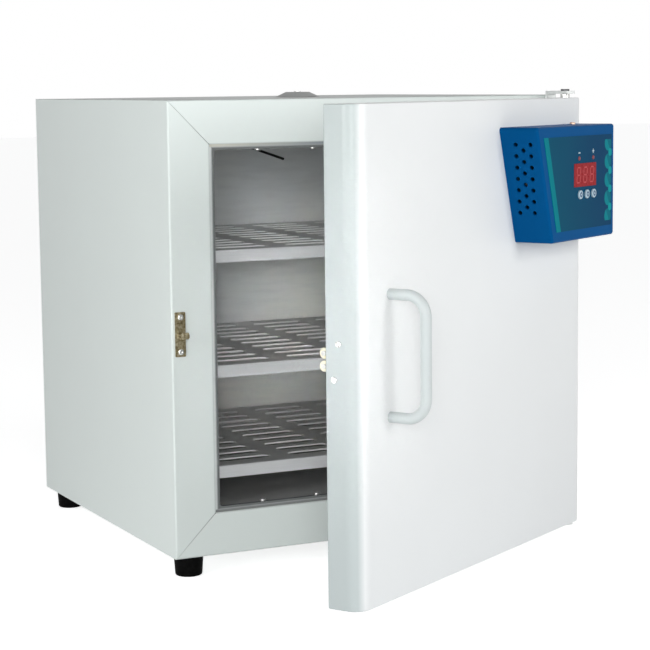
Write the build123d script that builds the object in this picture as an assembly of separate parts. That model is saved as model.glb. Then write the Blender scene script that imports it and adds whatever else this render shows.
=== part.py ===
"""Bench-top laboratory drying oven, door ajar.

Origin on the floor under the middle of the cabinet, +Z up, the door to -Y.
"""

import os
from math import cos, hypot, radians, sin, sqrt

from build123d import *

os.makedirs("parts", exist_ok=True)

# Cabinet
width = 438.0
depth = 408.0
height = 450.0
sheet = 1.5
front_bend = 2.0
back_bend = 3.0
frame_border = 43.0
frame_rim = 5.5
mitre_gap = 0.3
mitre_reach = 2.0
back_return = 15.0
rear_inset = 6.0
rear_corner = 4.0
rear_side_screws = 171.0
rear_end_screws = 157.7
air_gap = 8.0
fit = 0.3
over = 1.0

# Chamber liner, its rivets and the insulation round it
liner_sheet = 1.0
liner_corner = 3.0
liner_lap = 10.0
chamber_back_room = 37.5
rivet_count = 5
rivet_edge = 49.5
rivet_head = 3.4
rivet_setback = 8.0
rivet_tail = 2.7
rivet_tail_height = 3.0
wool_setback = 22.0
wool_back = 24.0

# Heating element under the chamber floor
element_radius = 4.0
element_runs = 4
element_edge = 65.5
element_bend = 30.0
element_front = 56.0
element_turn = 80.0
element_end_reach = 3.0
strap_sheet = 1.0
strap_width = 12.0
strap_flange = 10.0
strap_room = 4.0
trough_room = 8.0
trough_floor_room = 3.0
trough_end_room = 20.0
strap_setbacks = (120.0, 250.0)

# Shelves and their rails
shelf_heights = {"bottom": 83.7, "middle": 185.7, "top": 301.1}
shelf_side_gap = 2.5
shelf_back_room = 25.0
shelf_setback = 27.0
shelf_sheet = 1.5
shelf_lip = 12.4
shelf_lip_gap = 3.0
slot_width = 14.0
slot_columns = 4
slot_rows = 10
slot_side_edge = 17.5
slot_end_edge = 21.6
slot_web = 21.0
rail_leg = 9.0
rail_sheet = 1.2
rail_end_gap = 2.0

# Temperature probe in the chamber ceiling
probe_radius = 1.3
probe_offset = -80.0
probe_setback = 117.0
probe_drop = 2.7
probe_reach = (9.5, -60.0, -10.3)
probe_bend = 3.0
probe_top = 14.0
probe_bush_radius = 4.5
probe_bush_height = 6.0

# Vent on the top panel
vent_setback = 170.0
vent_tube_radius = 13.0
vent_wall = 1.0
vent_flange_radius = 19.0
vent_plate_lift = 2.6
cap_base_radius = 24.0
cap_top_radius = 12.75
cap_height = 5.5
cap_skirt = 2.4
cap_roof = 1.6
port_inner = 4.0
port_outer = 10.5
port_half_angle = 38.0
pivot_radius = 2.0
pivot_head = 3.6
pivot_head_height = 0.8
pivot_collar = 1.0
pivot_lift = 0.1
running = 0.05

# Feet
foot_height = 21.5
foot_top_radius = 15.0
foot_bottom_radius = 13.5
foot_round = 2.0
foot_inset = 22.0
foot_recess_radius = 7.0
foot_recess = 9.0
foot_nut_height = 4.0
foot_screw_end = 1.0

# Screws, as radii of shank and head
small_shank = 1.5
small_head = 3.0
small_head_height = 1.9
small_length = 7.0
large_shank = 2.5
large_head = 4.5
large_head_height = 3.2
head_round = 0.6
screw_clearance = 0.1

# Cable inlet in the rear panel
gland_inset = 69.0
gland_rise = 53.5
gland_bore = 3.5
gland_neck = 6.0
gland_body = 9.0
gland_length = 17.0
gland_thread = 7.0
gland_flange = 2.0
gland_flange_height = 3.0
gland_dome = 6.0
gland_lip = 1.0
gland_nut = 10.0
gland_nut_height = 5.0

# Hinges
hinge_inset = 5.5
hinge_reach = 29.0
bracket_sheet = 3.0
bracket_width = 11.0
bracket_leg = 34.0
bracket_arm = 41.0
bracket_rise = 1.0
bracket_round = 3.0
bracket_screws_at = (10.0, 24.0)
hinge_pin_radius = 2.5
hinge_pin_head = 4.5
hinge_pin_head_height = 1.8
hinge_pin_depth = 20.0
bush_radius = 3.5
bush_flange_radius = 4.8
bush_length = 16.0
door_angle = 30.6

# Door
door_gap = 13.0
door_thickness = 35.5
door_overhang = 3.0
door_bottom_gap = 1.5
door_top_gap = 3.0
door_round = 16.0
door_inner_round = 2.0
door_end_round = 1.2
door_lip_inset = 18.0
door_lip_corner = 3.0
door_panel_screws = 165.6
panel_sheet = 1.0
panel_lap = 8.0
plug_inset = 44.0
plug_face_gap = 4.0
plug_taper = 30.0
plug_corner = 6.0
gasket_inset = 22.0
gasket_width = 16.0
gasket_round = 5.0
gasket_corner = 12.0
gasket_gap = 0.4
door_wool_edge = 24.0
door_wool_hinge_edge = 18.0
door_wool_room = 6.0

# Handle
handle_radius = 5.0
handle_inset = 48.0
handle_middle = 224.5
handle_span = 110.0
handle_standoff = 37.0
handle_bend = 19.0
handle_thread = 14.0
handle_screw_reach = 12.0

# Strike on the cabinet front
strike_sheet = 1.2
strike_inset = 3.5
strike_width = 10.8
strike_height = 43.8
strike_corner = 1.0
strike_middle = 223.5
strike_screw_span = 34.0
tongue_width = 6.0
tongue_neck = 1.0
tongue_block = 5.9
tongue_block_depth = 1.4
tongue_neck_end = 9.5
tongue_head = 6.4
tongue_head_start = 13.0
tongue_head_end = 14.8
tongue_tip = 2.4
tongue_length = 17.2

# Roller catch in the door's free edge
roller_radius = 5.0
roller_length = 8.0
roller_span = 11.6
roller_inset = 4.5
roller_stand = 7.3
roller_pin_radius = 1.5
roller_pin_head = 2.3
roller_pin_head_sheet = 1.0
roller_round = 0.6
carriage_sheet = 1.8
carriage_height = 9.4
carriage_block = 9.5
carriage_back = 26.0
carriage_front = 18.0
carriage_arm_past = 3.0
guide_radius = 1.5
guide_back = 22.0
guide_inset = 9.0
catch_sheet = 1.5
catch_back = 32.0
catch_front = 16.0
catch_height = 41.0
catch_mouth = 27.0
catch_mouth_gap = 1.5
catch_screws_at = ((27.3, 15.7), (22.5, -15.9))

# Control housing on the door face
housing_depth = 41.0
housing_wall = 2.5
housing_corner = 3.0
housing_edge = 2.5
housing_drop = 29.5
housing_inset = 15.0
housing_height = 113.0
housing_top_width = 172.0
housing_bottom_width = 138.0
vent_hole_radius = 2.25
vent_columns = 3
vent_rows = 7
vent_first_column = 12.2
vent_column_pitch = 7.9
vent_margin_top = 16.5
vent_margin_bottom = 29.9
vent_lean = 0.08
label_sheet = 0.4
label_inset_top = 10.3
label_inset_bottom = 10.5
label_inset_left = 10.5
label_inset_right = 7.0
backplate_sheet = 1.2
backplate_tab = 14.0
backplate_tab_width = 16.0
backplate_screw_inset = 25.0
cover_screw_inset = 33.0
cover_screw_depth = 10.0

# Operating elements on the housing's front
display_inset = 43.7
display_drop = 37.5
display_width = 49.5
display_height = 23.0
display_proud = 0.3
led_rise = 5.0
led_shift = 2.55
led_span = 31.6
led_radius = 2.25
led_proud = 0.9
button_drop = 7.8
button_shift = 3.65
button_pitch = 15.1
button_radius = 4.4
button_proud = 1.6
button_flange = 5.6
button_flange_sheet = 1.0
button_stem = 7.5
button_travel = 1.0
board_setback = 12.5
board_sheet = 1.6
board_margin = 12.0
board_post_radius = 2.5
board_post_inset = 4.0
module_inset = 2.0
switch_half = 3.0

# Places that follow from the sizes
left, right = -width / 2, width / 2
front, back = -depth / 2, depth / 2
base = foot_height
top = base + height
middle = (base + top) / 2
opening_width = width - 2 * (frame_border + frame_rim)
opening_height = height - 2 * (frame_border + frame_rim)
chamber_floor = middle - opening_height / 2
chamber_top = middle + opening_height / 2
chamber_depth = depth - chamber_back_room
liner_front = front + sheet
liner_back = liner_front + chamber_depth
element_z = chamber_floor - liner_sheet - fit - element_radius
rivet_pitch = (opening_width - 2 * rivet_edge) / (rivet_count - 1)
element_pitch = (opening_width - 2 * element_edge) / (element_runs - 1)
shelf_width = opening_width - 2 * shelf_side_gap
shelf_front = front + shelf_setback
shelf_back = liner_back - shelf_back_room
shelf_depth = shelf_back - shelf_front
slot_length = (shelf_width - 2 * slot_side_edge - (slot_columns - 1) * slot_web) / slot_columns
slot_pitch_x = slot_length + slot_web
slot_pitch_y = (shelf_depth - 2 * slot_end_edge - slot_width) / (slot_rows - 1)
gland_x, gland_z = left + gland_inset, base + gland_rise
hinge_x = right - hinge_inset
hinge_y = front - hinge_reach
hinge_line = Axis((hinge_x, hinge_y, 0), (0, 0, 1))
door_left, door_right = left - door_overhang, right
door_low, door_high = base + door_bottom_gap, top - door_top_gap
door_inner = front - door_gap
door_outer = door_inner - door_thickness
panel_face = door_inner - sheet
housing_face = door_outer - housing_depth
housing_right = right - housing_inset
housing_high = top - housing_drop
housing_low = housing_high - housing_height
housing_left_high = housing_right - housing_top_width
housing_left_low = housing_right - housing_bottom_width
vent_hole_pitch = (housing_height - vent_margin_top - vent_margin_bottom) / (vent_rows - 1)
middle_y = (front + back) / 2


def block(x, y, z):
    """A block between the two ends given for each of X, Y and Z."""
    size = [high - low for low, high in (x, y, z)]
    return Pos(*[(low + high) / 2 for low, high in (x, y, z)]) * Box(*size)


def upright(sketch, start, end):
    """A sketch drawn in X and Z, made solid from one Y to another."""
    return extrude(Plane.XZ.offset(-start) * sketch, end - start, dir=(0, 1, 0))


def flat(sketch, start, end):
    """A sketch drawn in X and Y, made solid from one Z to another."""
    return extrude(Plane.XY.offset(start) * sketch, end - start)


def rod(start, end, radius):
    """A round bar between two points."""
    line = Vector(*end) - Vector(*start)
    return extrude(Plane(start, z_dir=line) * Circle(radius), line.length)


def facing(direction, place):
    """The place of a screw whose head looks along the direction."""
    turns = {"-Y": (90, 0, 0), "+Y": (-90, 0, 0), "-X": (0, -90, 0), "+Z": (0, 0, 0), "-Z": (180, 0, 0)}
    return Location(place, turns[direction])


def screw(direction, place, shank, head, head_height, length):
    """A pan-head screw, seated under its head at the place given."""
    cap = Pos(0, 0, head_height / 2) * Cylinder(head, head_height)
    cap = fillet(cap.edges().group_by(Axis.Z)[-1], head_height * head_round)
    body = cap + Pos(0, 0, -length / 2) * Cylinder(shank, length)
    return facing(direction, place) * body


def small_screw(direction, place, length=small_length):
    """The small pan-head screw used on sheet metal."""
    return screw(direction, place, small_shank, small_head, small_head_height, length)


def bore(direction, place, radius, length):
    """A round hole along a screw's direction, centred on the place."""
    return facing(direction, place) * Cylinder(radius, 2 * length)


def small_bore(direction, place, length=2 * sheet):
    """The hole that a small screw passes through."""
    return bore(direction, place, small_shank + screw_clearance, length)


def save(name, *shapes):
    """Write one piece, or a group of like pieces, to its own file."""
    solids = [solid for shape in shapes for solid in shape.solids()]
    piece = solids[0] if len(solids) == 1 else Compound(children=solids)
    piece.label = name
    export_step(piece, f"parts/{name}.step")


def save_on_door(name, *shapes):
    """Write a piece of the door, turned open with it."""
    save(name, *[shape.rotate(hinge_line, door_angle) for shape in shapes])


# Places of the fasteners that two or more pieces share
rivet_xs = [(i - (rivet_count - 1) / 2) * rivet_pitch for i in range(rivet_count)]
rivet_y = front + rivet_setback
foot_xs = {"left": left + foot_inset, "right": right - foot_inset}
foot_ys = {"front": front + foot_inset, "rear": back - foot_inset}
rear_screw_line = (rear_inset + back_return) / 2
corners = [(side, end) for side in (-1, 1) for end in (-1, 1)]
rear_places = [(side * (right - rear_screw_line), middle + end * rear_side_screws) for side, end in corners]
rear_end_z = height / 2 - rear_screw_line
rear_places += [(side * rear_end_screws, middle + end * rear_end_z) for side, end in corners]
strike_x = left + strike_inset + strike_width / 2
strike_z = base + strike_middle
strike_places = [(strike_x, front - strike_sheet, strike_z + s * strike_screw_span / 2) for s in (-1, 1)]
bracket_x = right - bracket_width / 2
plate_low = {"top": top + bracket_rise, "bottom": base - bracket_rise - bracket_sheet}
hinge_sides = {"top": 1, "bottom": -1}


def hinge_screw_places(side):
    """The two screws through a hinge bracket's leg."""
    edge = top if side == "top" else base
    return [(bracket_x, front - bracket_sheet, edge - hinge_sides[side] * drop) for drop in bracket_screws_at]


# Cabinet casing: four panels folded from sheet and mitred on the front frame
def casing_sleeve():
    """The four panels as one: walls, front frame and rear return."""
    outer = block((left, right), (front, back), (base, top))
    outer = fillet(outer.faces().sort_by(Axis.Y)[0].edges(), front_bend)
    outer = fillet(outer.faces().sort_by(Axis.Y)[-1].edges(), back_bend)
    inner = block(
        (left + sheet, right - sheet), (front + sheet, back - sheet), (base + sheet, top - sheet)
    )
    inner = fillet(inner.faces().sort_by(Axis.Y)[0].edges(), front_bend - sheet)
    inner = fillet(inner.faces().sort_by(Axis.Y)[-1].edges(), back_bend - sheet)
    mouth = Pos(0, middle) * Rectangle(width - 2 * frame_border, height - 2 * frame_border)
    rear = Pos(0, middle) * Rectangle(width - 2 * back_return, height - 2 * back_return)
    return outer - inner - upright(mouth, front - over, middle_y) - upright(rear, middle_y, back + over)


mitre_shift = mitre_gap / sqrt(2)
mitre_end = frame_border + mitre_reach


def mitre_wedge(half_long, half_short, turn):
    """The part of the section that one panel keeps, between its two mitres."""
    inner = half_short - mitre_end
    corner = half_long - mitre_end - mitre_shift
    outline = Polygon(
        (-half_long - over + mitre_shift, half_short + over),
        (half_long + over - mitre_shift, half_short + over),
        (corner, inner),
        (-corner, inner),
        align=None,
    )
    return Pos(0, middle) * Rot(0, 0, turn) * outline


sleeve = casing_sleeve()
for place in rear_places:
    sleeve -= small_bore("+Y", (place[0], back, place[1]))
for place in strike_places:
    sleeve -= small_bore("-Y", (place[0], front, place[2]))
for side in hinge_sides:
    for place in hinge_screw_places(side):
        sleeve -= small_bore("-Y", (place[0], front, place[2]))
for x in foot_xs.values():
    for y in foot_ys.values():
        sleeve -= bore("-Z", (x, y, base), large_shank + screw_clearance, 2 * sheet)
vent_y = front + vent_setback
sleeve -= bore("+Z", (0, vent_y, top), vent_tube_radius + fit, 2 * sheet)
panels = {
    "casing_top": (width / 2, height / 2, 0),
    "casing_left": (height / 2, width / 2, 90),
    "casing_bottom": (width / 2, height / 2, 180),
    "casing_right": (height / 2, width / 2, 270),
}
for name, (half_long, half_short, turn) in panels.items():
    save(name, sleeve & upright(mitre_wedge(half_long, half_short, turn), front - over, back + over))

# Rear panel on the casing's return, with its screws
rear_outline = Pos(0, middle) * RectangleRounded(width - 2 * rear_inset, height - 2 * rear_inset, rear_corner)
rear_panel = upright(rear_outline, back, back + sheet)
for place in rear_places:
    rear_panel -= small_bore("+Y", (place[0], back, place[1]))
rear_panel -= bore("+Y", (gland_x, back, gland_z), gland_neck + fit, 2 * sheet)
save("rear_panel", rear_panel)
save("rear_screws", *[small_screw("+Y", (x, back + sheet, z)) for x, z in rear_places])


# Cable inlet: a bushed gland with a domed nut, and its locknut inside
def cable_gland():
    """Turned body with a flange, a domed cap and a through bore."""
    outline = Polyline(
        (gland_bore, -sheet - gland_thread),
        (gland_neck, -sheet - gland_thread),
        (gland_neck, 0),
        (gland_body + gland_flange, 0),
        (gland_body + gland_flange, gland_flange_height),
        (gland_body, gland_flange_height),
        (gland_body, gland_length - gland_dome),
        (gland_bore + gland_lip, gland_length),
        (gland_bore, gland_length),
        close=True,
    )
    return revolve(Plane.XZ * make_face(outline), Axis.Z)


save("cable_gland", facing("+Y", (gland_x, back + sheet, gland_z)) * cable_gland())
nut = extrude(RegularPolygon(gland_nut, 6) - Circle(gland_neck + screw_clearance), gland_nut_height)
save("gland_nut", Location((gland_x, back, gland_z), (90, 0, 0)) * nut)


# Feet with a recessed screw and a nut inside the cabinet
def foot(x, y):
    """Tapered rubber foot, moulded with a rounded tread and a screw recess."""
    outline = Polyline(
        (0, 0),
        (foot_bottom_radius, 0),
        (foot_top_radius, foot_height),
        (0, foot_height),
        close=True,
    )
    body = revolve(Plane.XZ * make_face(outline), Axis.Z)
    body = fillet(body.edges().group_by(Axis.Z)[0], foot_round)
    recess = Pos(0, 0, foot_recess / 2) * Cylinder(foot_recess_radius, foot_recess)
    hole = Pos(0, 0, foot_height / 2) * Cylinder(large_shank + screw_clearance, foot_height)
    return Pos(x, y, 0) * (body - recess - hole)


foot_screws = []
for x_name, x in foot_xs.items():
    for y_name, y in foot_ys.items():
        save(f"foot_{y_name}_{x_name}", foot(x, y))
        seat = (x, y, foot_recess)
        length = foot_height - foot_recess + sheet + foot_nut_height + foot_screw_end
        foot_screws.append(screw("-Z", seat, large_shank, large_head, large_head_height, length))
        hexagon = RegularPolygon(large_head, 6) - Circle(large_shank + screw_clearance)
        foot_screws.append(Pos(x, y, 0) * flat(hexagon, base + sheet, base + sheet + foot_nut_height))
save("foot_screws", *foot_screws)


# Chamber liner: a folded box open to the front, its flange behind the frame
def rounded(extra, radius):
    """The chamber's section, larger all round by the extra."""
    outline = RectangleRounded(opening_width + 2 * extra, opening_height + 2 * extra, radius)
    return Pos(0, middle) * outline


probe_place = (probe_offset, front + probe_setback, chamber_top)
vent_bore = bore("+Z", (0, vent_y, chamber_top), vent_tube_radius + fit, 2 * liner_sheet)
liner = upright(rounded(liner_sheet, liner_corner + liner_sheet), liner_front, liner_back + liner_sheet)
liner += upright(rounded(frame_rim + liner_lap, liner_corner), liner_front, liner_front + liner_sheet)
liner -= upright(rounded(0, liner_corner), liner_front - over, liner_back)
liner -= vent_bore
liner -= bore("+Z", probe_place, probe_radius + fit, 2 * liner_sheet)
rivet_bore = small_shank + screw_clearance
for x in rivet_xs:
    for z in (chamber_floor, chamber_top):
        liner -= bore("+Z", (x, rivet_y, z), rivet_bore, 2 * liner_sheet)
save("liner", liner)


def rivet(x, z, turn):
    """Blind rivet: domed head in the chamber, set tail outside the liner."""
    head = Pos(0, 0, small_head_height / 2) * Cylinder(rivet_head, small_head_height)
    head = fillet(head.edges().group_by(Axis.Z)[-1], small_head_height * head_round)
    shank = Pos(0, 0, -liner_sheet / 2) * Cylinder(small_shank, liner_sheet)
    tail = Pos(0, 0, -liner_sheet - rivet_tail_height / 2) * Cylinder(rivet_tail, rivet_tail_height)
    return Location((x, rivet_y, z), (turn, 0, 0)) * (head + shank + tail)


rivets = [rivet(x, chamber_floor, 0) for x in rivet_xs]
rivets += [rivet(x, chamber_top, 180) for x in rivet_xs]
save("liner_rivets", *rivets)

# Heating element: one tube bent to and fro under the floor, ends out at the back
element_xs = [(i - (element_runs - 1) / 2) * element_pitch for i in range(element_runs)]
element_low = front + element_front
element_high = liner_back - element_turn
element_end = liner_back + liner_sheet + wool_back + element_end_reach
element_route = FilletPolyline(
    (element_xs[0], element_end, element_z),
    (element_xs[0], element_low, element_z),
    (element_xs[1], element_low, element_z),
    (element_xs[1], element_high, element_z),
    (element_xs[2], element_high, element_z),
    (element_xs[2], element_low, element_z),
    (element_xs[3], element_low, element_z),
    (element_xs[3], element_end, element_z),
    radius=element_bend,
)
element_section = Plane((element_xs[0], element_end, element_z), z_dir=(0, -1, 0)) * Circle(element_radius)
save("heating_element", sweep(element_section, path=element_route))


def element_strap(y):
    """Strap bent under the tube and fixed to the underside of the floor."""
    high = chamber_floor - liner_sheet
    low = element_z - element_radius - fit - strap_sheet
    half = element_xs[-1] + element_radius + strap_room
    hat = block((-half - strap_sheet, half + strap_sheet), (y, y + strap_width), (low, high))
    hat -= block((-half, half), (y - over, y + strap_width + over), (low + strap_sheet, high + over))
    for side in (-1, 1):
        edge = sorted((side * half, side * (half + strap_flange)))
        hat += block(edge, (y, y + strap_width), (high - strap_sheet, high))
    return hat


save("element_straps", *[element_strap(front + setback) for setback in strap_setbacks])

# Insulation round the liner, with a trough for the element
wool_x = width / 2 - sheet - air_gap
wool_z = height / 2 - sheet - air_gap
wool_start = liner_front + wool_setback
wool_end = liner_back + liner_sheet + wool_back
wool = upright(Pos(0, middle) * Rectangle(2 * wool_x, 2 * wool_z), wool_start, wool_end)
wool -= upright(rounded(liner_sheet + fit, liner_corner), wool_start - over, liner_back + liner_sheet + fit)
trough = element_xs[-1] + element_radius + strap_flange + trough_room
trough_low = element_z - element_radius - strap_sheet - trough_floor_room
trough_y = (element_low - trough_end_room, element_high + trough_end_room)
wool -= block((-trough, trough), trough_y, (trough_low, chamber_floor))
for x in (element_xs[0], element_xs[-1]):
    wool -= rod((x, element_high, element_z), (x, wool_end + over, element_z), element_radius + fit)
    wool -= block(
        (x - element_radius - fit, x + element_radius + fit),
        (element_high, liner_back + liner_sheet + fit),
        (element_z, chamber_floor),
    )
wool -= Pos(0, vent_y, (chamber_top + top) / 2) * Cylinder(vent_tube_radius + fit, top - chamber_top)
probe_hole = probe_bush_radius + fit
wool -= Pos(*probe_place) * Cylinder(probe_hole, 2 * (probe_top + over))
save("insulation", wool)

# Temperature probe: a bent rod held by a bush on top of the liner
probe_x, probe_y, _ = probe_place
probe_knee = (probe_x, probe_y, chamber_top - probe_drop)
probe_tip = tuple(a + b for a, b in zip(probe_knee, probe_reach))
probe_route = FilletPolyline(
    (probe_x, probe_y, chamber_top + probe_top), probe_knee, probe_tip, radius=probe_bend
)
probe_section = Plane((probe_x, probe_y, chamber_top + probe_top), z_dir=(0, 0, -1)) * Circle(probe_radius)
save("probe", sweep(probe_section, path=probe_route))
bush_ring = Circle(probe_bush_radius) - Circle(probe_radius + screw_clearance)
probe_bush = Pos(probe_x, probe_y, 0) * flat(
    bush_ring, chamber_top + liner_sheet, chamber_top + liner_sheet + probe_bush_height
)
save("probe_bush", probe_bush)


# Vent: a tube from the chamber to the top panel under a turning cap
def ports(low, high):
    """Two opposite openings, ring sectors, between two heights."""
    wide = 2 * port_outer
    reach = wide * sin(radians(port_half_angle))
    along = wide * cos(radians(port_half_angle))
    sector = Polygon((0, 0), (along, reach), (along, -reach), align=None)
    sector += Polygon((0, 0), (-along, -reach), (-along, reach), align=None)
    ring = Circle(port_outer) - Circle(port_inner)
    return flat(ring & sector, low, high)


plate_top = vent_plate_lift + vent_wall
vent_tube = flat(Circle(vent_tube_radius), chamber_top, top + plate_top)
vent_tube -= flat(Circle(vent_tube_radius - vent_wall), chamber_top - over, top + vent_plate_lift)
vent_tube += flat(Circle(vent_flange_radius) - Circle(vent_tube_radius - vent_wall / 2), top, top + vent_wall)
vent_tube -= ports(top, top + plate_top + over)
vent_tube -= flat(Circle(pivot_radius + running), top, top + plate_top + over)
save("vent_tube", Pos(0, vent_y, 0) * vent_tube)

cap_low, cap_high = top + fit, top + cap_height
cap_outline = Polyline(
    (0, cap_high),
    (cap_top_radius, cap_high),
    (cap_base_radius, cap_low),
    (cap_base_radius - cap_skirt, cap_low),
    (cap_top_radius + cap_skirt / 2, cap_high - cap_roof),
    (0, cap_high - cap_roof),
    close=True,
)
vent_cap = revolve(Plane.XZ * make_face(cap_outline), Axis.Z)
vent_cap -= ports(top + plate_top, cap_high + over)
vent_cap -= flat(Circle(pivot_radius + running), top, cap_high + over)
save("vent_cap", Pos(0, vent_y, 0) * vent_cap)
pivot_low, pivot_high = top + vent_plate_lift - pivot_collar, cap_high + pivot_lift
pivot = flat(Circle(pivot_radius), pivot_low, pivot_high)
pivot += flat(Circle(pivot_head), pivot_high, pivot_high + pivot_head_height)
pivot += flat(Circle(pivot_head), pivot_low, top + vent_plate_lift)
save("vent_pivot", Pos(0, vent_y, 0) * pivot)

# Shelf rails: angle strips spot-welded to the chamber's side walls
rails = []
for shelf_height in shelf_heights.values():
    rail_top = base + shelf_height - shelf_sheet - fit
    for side in (-1, 1):
        wall = side * opening_width / 2
        angle = Polygon(
            (wall, rail_top),
            (wall - side * rail_leg, rail_top),
            (wall - side * rail_leg, rail_top - rail_sheet),
            (wall - side * rail_sheet, rail_top - rail_sheet),
            (wall - side * rail_sheet, rail_top - rail_leg),
            (wall, rail_top - rail_leg),
            align=None,
        )
        rail_room = shelf_sheet + rail_end_gap
        rails.append(upright(angle, shelf_front + rail_room, shelf_back - rail_room))
save("shelf_rails", *rails)


# Shelves: slotted trays with a lip folded down at the front and at the back
def shelf(shelf_height):
    """One tray, its rear lip narrow enough to pass between the rails."""
    high = base + shelf_height
    low = high - shelf_lip
    half = shelf_width / 2
    tray = block((-half, half), (shelf_front, shelf_back), (high - shelf_sheet, high))
    tray += block((-half, half), (shelf_front, shelf_front + shelf_sheet), (low, high))
    rear_half = opening_width / 2 - rail_leg - shelf_lip_gap
    tray += block((-rear_half, rear_half), (shelf_back - shelf_sheet, shelf_back), (low, high))
    tray = fillet(tray.edges().filter_by(Axis.X).group_by(Axis.Y)[0].group_by(Axis.Z)[-1], shelf_sheet * 0.8)
    slots = GridLocations(slot_pitch_x, slot_pitch_y, slot_columns, slot_rows)
    slots = slots * SlotOverall(slot_length, slot_width)
    slot_middle = (shelf_front + shelf_back) / 2
    return tray - Pos(0, slot_middle, 0) * flat(Sketch() + slots, high - 2 * shelf_sheet, high + over)


for name, shelf_height in shelf_heights.items():
    save(f"shelf_{name}", shelf(shelf_height))


# Strike: a plate on the frame with a spear-headed tongue
def strike():
    """Plate and tongue in one piece, the tongue thin where the rollers close."""
    plate = Pos(strike_x, strike_z) * RectangleRounded(strike_width, strike_height, strike_corner)
    body = upright(plate, front - strike_sheet, front)
    for x, _, z in strike_places:
        body -= small_bore("-Y", (x, front, z))
    half_neck, half_head, half_tip = tongue_neck / 2, tongue_head / 2, tongue_tip / 2
    upper = [
        (-tongue_length, half_tip),
        (-tongue_head_end, half_head),
        (-tongue_head_start, half_head),
        (-tongue_neck_end, half_neck),
        (-strike_sheet - tongue_block_depth, half_neck),
        (-strike_sheet - tongue_block_depth / 2, tongue_block / 2),
        (-strike_sheet / 2, tongue_block),
    ]
    lower = [(y, -z) for y, z in reversed(upper)]
    outline = Plane.YZ * make_face(Polyline(*upper, *lower, close=True))
    tongue = extrude(outline, tongue_width / 2, both=True)
    tongue = fillet(tongue.edges().filter_by(Axis.X).group_by(Axis.Y)[0], half_tip * 0.8)
    return body + Pos(strike_x, front, strike_z) * tongue


save("strike", strike())
save("strike_screws", *[small_screw("-Y", place) for place in strike_places])

# Hinge brackets, screws and pins on the cabinet
hinge_screws = []
hinge_pins = []
for side, way in hinge_sides.items():
    low = plate_low[side]
    high = low + bracket_sheet
    leg_end = (top if side == "top" else base) - way * (bracket_leg - bracket_sheet)
    across = (bracket_x - bracket_width / 2, bracket_x + bracket_width / 2)
    arm = block(across, (front - bracket_arm, front), (low, high))
    arm = fillet(arm.edges().filter_by(Axis.Z).group_by(Axis.Y)[0], bracket_round)
    outer_face = high if way > 0 else low
    leg = block(across, (front - bracket_sheet, front), sorted((leg_end, outer_face)))
    bracket = arm + leg
    bracket -= Pos(hinge_x, hinge_y, low) * Cylinder(hinge_pin_radius + running, 4 * bracket_sheet)
    for place in hinge_screw_places(side):
        bracket -= small_bore("-Y", place, 2 * bracket_sheet)
        hinge_screws.append(small_screw("-Y", place, small_length + bracket_sheet))
    save(f"hinge_bracket_{side}", bracket)
    head = outer_face + way * hinge_pin_head_height
    pin = rod((0, 0, outer_face), (0, 0, head), hinge_pin_head)
    pin_end = outer_face - way * (hinge_pin_depth + bracket_sheet)
    pin += rod((0, 0, outer_face), (0, 0, pin_end), hinge_pin_radius)
    hinge_pins.append(Pos(hinge_x, hinge_y, 0) * pin)
save("hinge_screws", *hinge_screws)
save("hinge_pins", *hinge_pins)


# Door skin: one folded shell, well rounded on its two outer vertical edges
def door_plan(inset):
    """The door's plan, drawn in by the inset, rounder at the outer corners."""
    size = (door_right - door_left - 2 * inset, door_thickness - 2 * inset)
    plan = Pos((door_left + door_right) / 2, (door_inner + door_outer) / 2) * Rectangle(*size)
    plan = fillet(plan.vertices().group_by(Axis.Y)[0], door_round - inset)
    return fillet(plan.vertices().group_by(Axis.Y)[-1], door_inner_round - inset)


catch_x = door_left + sheet
arm_x = left + roller_inset + roller_length + 2 * fit
catch_width = arm_x + carriage_sheet + fit + catch_sheet - catch_x
catch_z = strike_z
catch_screw_places = [(door_left, front - setback, catch_z + rise) for setback, rise in catch_screws_at]
handle_x = left + handle_inset
handle_z = base + handle_middle
handle_ends = [(handle_x, door_outer, handle_z + s * handle_span / 2) for s in (-1, 1)]
lip_width = width - 2 * door_lip_inset
lip_height = height - 2 * door_lip_inset
panel_screw_xs = [f * (lip_width / 2 + panel_lap / 2) for f in (-1, 1)]
panel_screw_zs = [middle + f * door_panel_screws for f in (-1, 1)]
panel_screw_places = [(x, door_inner, z) for x in panel_screw_xs for z in panel_screw_zs]
backplate_xs = [housing_left_low + backplate_screw_inset, housing_right - backplate_screw_inset]
backplate_z = (housing_high + housing_low) / 2
backplate_places = [(x, door_outer - backplate_sheet, backplate_z) for x in backplate_xs]
bush_hole = bush_radius + screw_clearance
roller_z = {"upper": catch_z + roller_span / 2, "lower": catch_z - roller_span / 2}
roller_y = front - roller_stand

door_body = flat(door_plan(0), door_low, door_high)
door_body = fillet(door_body.edges().group_by(Axis.Z)[-1], door_end_round)
door_body = fillet(door_body.edges().group_by(Axis.Z)[0], door_end_round)
skin = door_body - flat(door_plan(sheet), door_low + sheet, door_high - sheet)
lip_opening = Pos(0, middle) * RectangleRounded(lip_width, lip_height, door_lip_corner)
skin -= upright(lip_opening, panel_face - over, door_inner + over)
mouth_end = catch_x + catch_width + catch_mouth_gap
mouth_z = (catch_z - catch_mouth / 2, catch_z + catch_mouth / 2)
skin -= block((catch_x + catch_sheet, mouth_end), (panel_face - over, door_inner + over), mouth_z)
for place in catch_screw_places:
    skin -= small_bore("-X", place)
for place in handle_ends:
    skin -= bore("-Y", place, large_shank + screw_clearance, 2 * sheet)
for place in panel_screw_places:
    skin -= small_bore("+Y", place)
for x, _, z in backplate_places:
    skin -= small_bore("-Y", (x, door_outer, z))
skin -= Pos(hinge_x, hinge_y, (door_low + door_high) / 2) * Cylinder(bush_hole, height)
save_on_door("door_skin", skin)

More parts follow.
